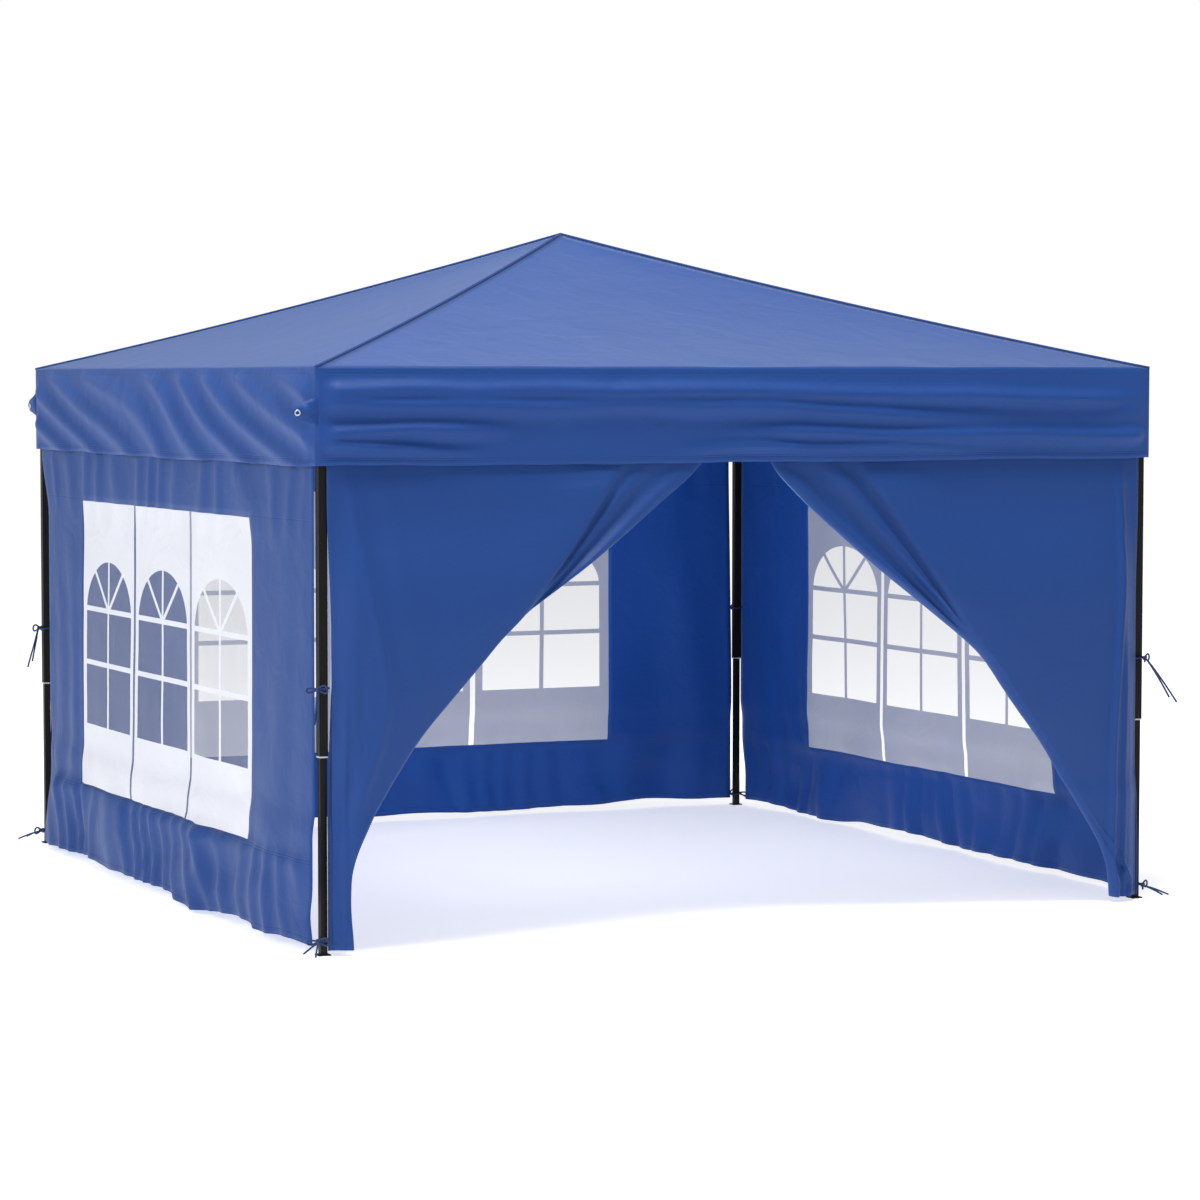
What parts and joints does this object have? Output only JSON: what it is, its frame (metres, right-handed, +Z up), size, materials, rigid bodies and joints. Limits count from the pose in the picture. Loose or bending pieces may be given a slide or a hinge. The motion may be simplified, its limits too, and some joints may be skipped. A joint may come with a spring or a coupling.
{
  "type": "pop up gazebo",
  "caption": "Square pop up gazebo with a folding scissor frame, telescoping legs, a hipped cloth roof with deep valances, window walls and a zipped front opening.",
  "frame": {"origin": "on the ground at the middle of the square plan", "axes": "+Z up, -Y towards the front with the opening, +X to the right seen from the front"},
  "size_m": [3, 3, 2.28],
  "materials": {
    "leg_steel": "black powder coat",
    "truss_steel": "dark powder coat",
    "black_plastic": "matte",
    "roof_cloth": "blue coated polyester",
    "wall_cloth": "blue coated polyester with white printed clear-film windows"
  },
  "bodies": {
    "hub": {"hub_top": "black_plastic"},
    "post": {"centre_post": "truss_steel", "peak_cap": "black_plastic"},
    "hub_bottom": {"hub_bottom": "black_plastic"},
    "truss_a_front": {"truss_a_front": "truss_steel"},
    "truss_b_front": {"truss_b_front": "truss_steel"},
    "mid_upper_front": {"mid_upper_front": "black_plastic", "valance_front": "wall_cloth", "wall_front": "wall_cloth"},
    "mid_lower_front": {"mid_lower_front": "black_plastic"},
    "canopy_front": {"canopy_front": "roof_cloth"},
    "truss_a_right": {"truss_a_right": "truss_steel"},
    "truss_b_right": {"truss_b_right": "truss_steel"},
    "mid_upper_right": {"mid_upper_right": "black_plastic", "valance_right": "wall_cloth", "wall_right": "wall_cloth"},
    "mid_lower_right": {"mid_lower_right": "black_plastic"},
    "canopy_right": {"canopy_right": "roof_cloth"},
    "truss_a_back": {"truss_a_back": "truss_steel"},
    "truss_b_back": {"truss_b_back": "truss_steel"},
    "mid_upper_back": {"mid_upper_back": "black_plastic", "valance_back": "wall_cloth", "wall_back": "wall_cloth"},
    "mid_lower_back": {"mid_lower_back": "black_plastic"},
    "canopy_back": {"canopy_back": "roof_cloth"},
    "truss_a_left": {"truss_a_left": "truss_steel"},
    "truss_b_left": {"truss_b_left": "truss_steel"},
    "mid_upper_left": {"mid_upper_left": "black_plastic", "valance_left": "wall_cloth", "wall_left": "wall_cloth"},
    "mid_lower_left": {"mid_lower_left": "black_plastic"},
    "canopy_left": {"canopy_left": "roof_cloth"},
    "side_a_front_fr": {"side_a_front_fr": "truss_steel"},
    "side_b_front_fr": {"side_b_front_fr": "truss_steel"},
    "leg_fr": {"leg_fr": "leg_steel"},
    "slider_fr": {"slider_fr": "black_plastic"},
    "lower_leg_fr": {"lower_leg_fr": "leg_steel"},
    "side_a_front_fl": {"side_a_front_fl": "truss_steel"},
    "side_b_front_fl": {"side_b_front_fl": "truss_steel"},
    "leg_fl": {"leg_fl": "leg_steel"},
    "slider_fl": {"slider_fl": "black_plastic"},
    "lower_leg_fl": {"lower_leg_fl": "leg_steel"},
    "side_a_right_br": {"side_a_right_br": "truss_steel"},
    "side_b_right_br": {"side_b_right_br": "truss_steel"},
    "side_a_right_fr": {"side_a_right_fr": "truss_steel"},
    "side_b_right_fr": {"side_b_right_fr": "truss_steel"},
    "side_a_back_bl": {"side_a_back_bl": "truss_steel"},
    "side_b_back_bl": {"side_b_back_bl": "truss_steel"},
    "leg_bl": {"leg_bl": "leg_steel"},
    "slider_bl": {"slider_bl": "black_plastic"},
    "lower_leg_bl": {"lower_leg_bl": "leg_steel"},
    "side_a_back_br": {"side_a_back_br": "truss_steel"},
    "side_b_back_br": {"side_b_back_br": "truss_steel"},
    "leg_br": {"leg_br": "leg_steel"},
    "slider_br": {"slider_br": "black_plastic"},
    "lower_leg_br": {"lower_leg_br": "leg_steel"},
    "side_a_left_fl": {"side_a_left_fl": "truss_steel"},
    "side_b_left_fl": {"side_b_left_fl": "truss_steel"},
    "side_a_left_bl": {"side_a_left_bl": "truss_steel"},
    "side_b_left_bl": {"side_b_left_bl": "truss_steel"}
  },
  "joints": [
    {"name": "frame_fold", "type": "hinge", "parent": "hub", "child": "truss_a_front", "pos_m": [0, -0.025, 1.765], "axis": [1, 0, 0], "range_deg": [0, 77.9], "deforming": ["canopy_right", "valance_right", "wall_right", "canopy_back", "valance_back", "wall_back", "canopy_left", "valance_left", "wall_left", "canopy_front", "valance_front", "wall_front"]},
    {"name": "truss_front_middle_pivot", "type": "hinge", "parent": "truss_a_front", "child": "truss_b_front", "pos_m": [0, -0.7325, 1.6525], "axis": [-1, 0, 0], "range_deg": [0, 156]},
    {"name": "mid_lower_front_pivot", "type": "hinge", "parent": "truss_a_front", "child": "mid_lower_front", "pos_m": [0, -1.44, 1.54], "axis": [-1, 0, 0], "range_deg": [0, 78]},
    {"name": "mid_upper_front_pivot", "type": "hinge", "parent": "truss_b_front", "child": "mid_upper_front", "pos_m": [0, -1.44, 1.765], "axis": [1, 0, 0], "range_deg": [0, 78]},
    {"name": "hub_bottom_pivot", "type": "hinge", "parent": "truss_b_front", "child": "hub_bottom", "pos_m": [0, -0.025, 1.54], "axis": [1, 0, 0], "range_deg": [0, 78]},
    {"name": "canopy_front_eave", "type": "hinge", "parent": "mid_upper_front", "child": "canopy_front", "pos_m": [0, -1.5, 1.8], "axis": [-1, 0, 0], "range_deg": [0, 103.3]},
    {"name": "truss_a_right_hub_pivot", "type": "hinge", "parent": "hub", "child": "truss_a_right", "pos_m": [0.025, 0, 1.765], "axis": [0, 1, 0], "range_deg": [0, 78]},
    {"name": "truss_right_middle_pivot", "type": "hinge", "parent": "truss_a_right", "child": "truss_b_right", "pos_m": [0.7325, 0, 1.6525], "axis": [0, -1, 0], "range_deg": [0, 156]},
    {"name": "mid_lower_right_pivot", "type": "hinge", "parent": "truss_a_right", "child": "mid_lower_right", "pos_m": [1.44, 0, 1.54], "axis": [0, -1, 0], "range_deg": [0, 78]},
    {"name": "mid_upper_right_pivot", "type": "hinge", "parent": "truss_b_right", "child": "mid_upper_right", "pos_m": [1.44, 0, 1.765], "axis": [0, 1, 0], "range_deg": [0, 78]},
    {"name": "canopy_right_eave", "type": "hinge", "parent": "mid_upper_right", "child": "canopy_right", "pos_m": [1.5, 0, 1.8], "axis": [0, -1, 0], "range_deg": [0, 103.3]},
    {"name": "truss_a_back_hub_pivot", "type": "hinge", "parent": "hub", "child": "truss_a_back", "pos_m": [0, 0.025, 1.765], "axis": [-1, 0, 0], "range_deg": [0, 78]},
    {"name": "truss_back_middle_pivot", "type": "hinge", "parent": "truss_a_back", "child": "truss_b_back", "pos_m": [0, 0.7325, 1.6525], "axis": [1, 0, 0], "range_deg": [0, 156]},
    {"name": "mid_lower_back_pivot", "type": "hinge", "parent": "truss_a_back", "child": "mid_lower_back", "pos_m": [0, 1.44, 1.54], "axis": [1, 0, 0], "range_deg": [0, 78]},
    {"name": "mid_upper_back_pivot", "type": "hinge", "parent": "truss_b_back", "child": "mid_upper_back", "pos_m": [0, 1.44, 1.765], "axis": [-1, 0, 0], "range_deg": [0, 78]},
    {"name": "canopy_back_eave", "type": "hinge", "parent": "mid_upper_back", "child": "canopy_back", "pos_m": [0, 1.5, 1.8], "axis": [1, 0, 0], "range_deg": [0, 103.3]},
    {"name": "truss_a_left_hub_pivot", "type": "hinge", "parent": "hub", "child": "truss_a_left", "pos_m": [-0.025, 0, 1.765], "axis": [0, -1, 0], "range_deg": [0, 78]},
    {"name": "truss_left_middle_pivot", "type": "hinge", "parent": "truss_a_left", "child": "truss_b_left", "pos_m": [-0.7325, 0, 1.6525], "axis": [0, 1, 0], "range_deg": [0, 156]},
    {"name": "mid_lower_left_pivot", "type": "hinge", "parent": "truss_a_left", "child": "mid_lower_left", "pos_m": [-1.44, 0, 1.54], "axis": [0, 1, 0], "range_deg": [0, 78]},
    {"name": "mid_upper_left_pivot", "type": "hinge", "parent": "truss_b_left", "child": "mid_upper_left", "pos_m": [-1.44, 0, 1.765], "axis": [0, -1, 0], "range_deg": [0, 78]},
    {"name": "canopy_left_eave", "type": "hinge", "parent": "mid_upper_left", "child": "canopy_left", "pos_m": [-1.5, 0, 1.8], "axis": [0, 1, 0], "range_deg": [0, 103.3]},
    {"name": "post_slide", "type": "slide", "parent": "hub", "child": "post", "axis": [0, 0, -1], "range_m": [0, 0.4405]},
    {"name": "side_a_front_fr_middle", "type": "hinge", "parent": "mid_upper_front", "child": "side_a_front_fr", "pos_m": [0.025, -1.475, 1.765], "axis": [0, 1, 0], "range_deg": [0, 78]},
    {"name": "side_b_front_fr_middle", "type": "hinge", "parent": "mid_lower_front", "child": "side_b_front_fr", "pos_m": [0.025, -1.475, 1.54], "axis": [0, -1, 0], "range_deg": [0, 78]},
    {"name": "leg_fr_top", "type": "hinge", "parent": "side_b_front_fr", "child": "leg_fr", "pos_m": [1.44, -1.475, 1.765], "axis": [0, 1, 0], "range_deg": [0, 78]},
    {"name": "slider_fr_pivot", "type": "hinge", "parent": "side_a_front_fr", "child": "slider_fr", "pos_m": [1.44, -1.475, 1.54], "axis": [0, -1, 0], "range_deg": [0, 78]},
    {"name": "leg_fr_height", "type": "slide", "parent": "leg_fr", "child": "lower_leg_fr", "axis": [0, 0, 1], "range_m": [0, 0.25]},
    {"name": "side_a_front_fl_middle", "type": "hinge", "parent": "mid_upper_front", "child": "side_a_front_fl", "pos_m": [-0.025, -1.475, 1.765], "axis": [0, -1, 0], "range_deg": [0, 78]},
    {"name": "side_b_front_fl_middle", "type": "hinge", "parent": "mid_lower_front", "child": "side_b_front_fl", "pos_m": [-0.025, -1.475, 1.54], "axis": [0, 1, 0], "range_deg": [0, 78]},
    {"name": "leg_fl_top", "type": "hinge", "parent": "side_b_front_fl", "child": "leg_fl", "pos_m": [-1.44, -1.475, 1.765], "axis": [0, -1, 0], "range_deg": [0, 78]},
    {"name": "slider_fl_pivot", "type": "hinge", "parent": "side_a_front_fl", "child": "slider_fl", "pos_m": [-1.44, -1.475, 1.54], "axis": [0, 1, 0], "range_deg": [0, 78]},
    {"name": "leg_fl_height", "type": "slide", "parent": "leg_fl", "child": "lower_leg_fl", "axis": [0, 0, 1], "range_m": [0, 0.25]},
    {"name": "side_a_right_br_middle", "type": "hinge", "parent": "mid_upper_right", "child": "side_a_right_br", "pos_m": [1.475, 0.025, 1.765], "axis": [-1, 0, 0], "range_deg": [0, 78]},
    {"name": "side_b_right_br_middle", "type": "hinge", "parent": "mid_lower_right", "child": "side_b_right_br", "pos_m": [1.475, 0.025, 1.54], "axis": [1, 0, 0], "range_deg": [0, 78]},
    {"name": "side_a_right_fr_middle", "type": "hinge", "parent": "mid_upper_right", "child": "side_a_right_fr", "pos_m": [1.475, -0.025, 1.765], "axis": [1, 0, 0], "range_deg": [0, 78]},
    {"name": "side_b_right_fr_middle", "type": "hinge", "parent": "mid_lower_right", "child": "side_b_right_fr", "pos_m": [1.475, -0.025, 1.54], "axis": [-1, 0, 0], "range_deg": [0, 78]},
    {"name": "side_a_back_bl_middle", "type": "hinge", "parent": "mid_upper_back", "child": "side_a_back_bl", "pos_m": [-0.025, 1.475, 1.765], "axis": [0, -1, 0], "range_deg": [0, 78]},
    {"name": "side_b_back_bl_middle", "type": "hinge", "parent": "mid_lower_back", "child": "side_b_back_bl", "pos_m": [-0.025, 1.475, 1.54], "axis": [0, 1, 0], "range_deg": [0, 78]},
    {"name": "leg_bl_top", "type": "hinge", "parent": "side_b_back_bl", "child": "leg_bl", "pos_m": [-1.44, 1.475, 1.765], "axis": [0, -1, 0], "range_deg": [0, 78]},
    {"name": "slider_bl_pivot", "type": "hinge", "parent": "side_a_back_bl", "child": "slider_bl", "pos_m": [-1.44, 1.475, 1.54], "axis": [0, 1, 0], "range_deg": [0, 78]},
    {"name": "leg_bl_height", "type": "slide", "parent": "leg_bl", "child": "lower_leg_bl", "axis": [0, 0, 1], "range_m": [0, 0.25]},
    {"name": "side_a_back_br_middle", "type": "hinge", "parent": "mid_upper_back", "child": "side_a_back_br", "pos_m": [0.025, 1.475, 1.765], "axis": [0, 1, 0], "range_deg": [0, 78]},
    {"name": "side_b_back_br_middle", "type": "hinge", "parent": "mid_lower_back", "child": "side_b_back_br", "pos_m": [0.025, 1.475, 1.54], "axis": [0, -1, 0], "range_deg": [0, 78]},
    {"name": "leg_br_top", "type": "hinge", "parent": "side_b_back_br", "child": "leg_br", "pos_m": [1.44, 1.475, 1.765], "axis": [0, 1, 0], "range_deg": [0, 78]},
    {"name": "slider_br_pivot", "type": "hinge", "parent": "side_a_back_br", "child": "slider_br", "pos_m": [1.44, 1.475, 1.54], "axis": [0, -1, 0], "range_deg": [0, 78]},
    {"name": "leg_br_height", "type": "slide", "parent": "leg_br", "child": "lower_leg_br", "axis": [0, 0, 1], "range_m": [0, 0.25]},
    {"name": "side_a_left_fl_middle", "type": "hinge", "parent": "mid_upper_left", "child": "side_a_left_fl", "pos_m": [-1.475, -0.025, 1.765], "axis": [1, 0, 0], "range_deg": [0, 78]},
    {"name": "side_b_left_fl_middle", "type": "hinge", "parent": "mid_lower_left", "child": "side_b_left_fl", "pos_m": [-1.475, -0.025, 1.54], "axis": [-1, 0, 0], "range_deg": [0, 78]},
    {"name": "side_a_left_bl_middle", "type": "hinge", "parent": "mid_upper_left", "child": "side_a_left_bl", "pos_m": [-1.475, 0.025, 1.765], "axis": [-1, 0, 0], "range_deg": [0, 78]},
    {"name": "side_b_left_bl_middle", "type": "hinge", "parent": "mid_lower_left", "child": "side_b_left_bl", "pos_m": [-1.475, 0.025, 1.54], "axis": [1, 0, 0], "range_deg": [0, 78]}
  ],
  "couplings": [
    {"joint": "truss_front_middle_pivot", "follows": "frame_fold", "ratio": 2},
    {"joint": "mid_lower_front_pivot", "follows": "frame_fold", "ratio": 1},
    {"joint": "mid_upper_front_pivot", "follows": "frame_fold", "ratio": 1},
    {"joint": "hub_bottom_pivot", "follows": "frame_fold", "ratio": 1},
    {"joint": "canopy_front_eave", "follows": "frame_fold", "ratio": 1.3222},
    {"joint": "truss_a_right_hub_pivot", "follows": "frame_fold", "ratio": 1},
    {"joint": "truss_right_middle_pivot", "follows": "frame_fold", "ratio": 2},
    {"joint": "mid_lower_right_pivot", "follows": "frame_fold", "ratio": 1},
    {"joint": "mid_upper_right_pivot", "follows": "frame_fold", "ratio": 1},
    {"joint": "canopy_right_eave", "follows": "frame_fold", "ratio": 1.3222},
    {"joint": "truss_a_back_hub_pivot", "follows": "frame_fold", "ratio": 1},
    {"joint": "truss_back_middle_pivot", "follows": "frame_fold", "ratio": 2},
    {"joint": "mid_lower_back_pivot", "follows": "frame_fold", "ratio": 1},
    {"joint": "mid_upper_back_pivot", "follows": "frame_fold", "ratio": 1},
    {"joint": "canopy_back_eave", "follows": "frame_fold", "ratio": 1.3222},
    {"joint": "truss_a_left_hub_pivot", "follows": "frame_fold", "ratio": 1},
    {"joint": "truss_left_middle_pivot", "follows": "frame_fold", "ratio": 2},
    {"joint": "mid_lower_left_pivot", "follows": "frame_fold", "ratio": 1},
    {"joint": "mid_upper_left_pivot", "follows": "frame_fold", "ratio": 1},
    {"joint": "canopy_left_eave", "follows": "frame_fold", "ratio": 1.3222},
    {"joint": "post_slide", "follows": "frame_fold", "m_per_rad": 0.32362},
    {"joint": "side_a_front_fr_middle", "follows": "frame_fold", "ratio": 1},
    {"joint": "side_b_front_fr_middle", "follows": "frame_fold", "ratio": 1},
    {"joint": "leg_fr_top", "follows": "frame_fold", "ratio": 1},
    {"joint": "slider_fr_pivot", "follows": "frame_fold", "ratio": 1},
    {"joint": "side_a_front_fl_middle", "follows": "frame_fold", "ratio": 1},
    {"joint": "side_b_front_fl_middle", "follows": "frame_fold", "ratio": 1},
    {"joint": "leg_fl_top", "follows": "frame_fold", "ratio": 1},
    {"joint": "slider_fl_pivot", "follows": "frame_fold", "ratio": 1},
    {"joint": "side_a_right_br_middle", "follows": "frame_fold", "ratio": 1},
    {"joint": "side_b_right_br_middle", "follows": "frame_fold", "ratio": 1},
    {"joint": "side_a_right_fr_middle", "follows": "frame_fold", "ratio": 1},
    {"joint": "side_b_right_fr_middle", "follows": "frame_fold", "ratio": 1},
    {"joint": "side_a_back_bl_middle", "follows": "frame_fold", "ratio": 1},
    {"joint": "side_b_back_bl_middle", "follows": "frame_fold", "ratio": 1},
    {"joint": "leg_bl_top", "follows": "frame_fold", "ratio": 1},
    {"joint": "slider_bl_pivot", "follows": "frame_fold", "ratio": 1},
    {"joint": "side_a_back_br_middle", "follows": "frame_fold", "ratio": 1},
    {"joint": "side_b_back_br_middle", "follows": "frame_fold", "ratio": 1},
    {"joint": "leg_br_top", "follows": "frame_fold", "ratio": 1},
    {"joint": "slider_br_pivot", "follows": "frame_fold", "ratio": 1},
    {"joint": "side_a_left_fl_middle", "follows": "frame_fold", "ratio": 1},
    {"joint": "side_b_left_fl_middle", "follows": "frame_fold", "ratio": 1},
    {"joint": "side_a_left_bl_middle", "follows": "frame_fold", "ratio": 1},
    {"joint": "side_b_left_bl_middle", "follows": "frame_fold", "ratio": 1}
  ]
}
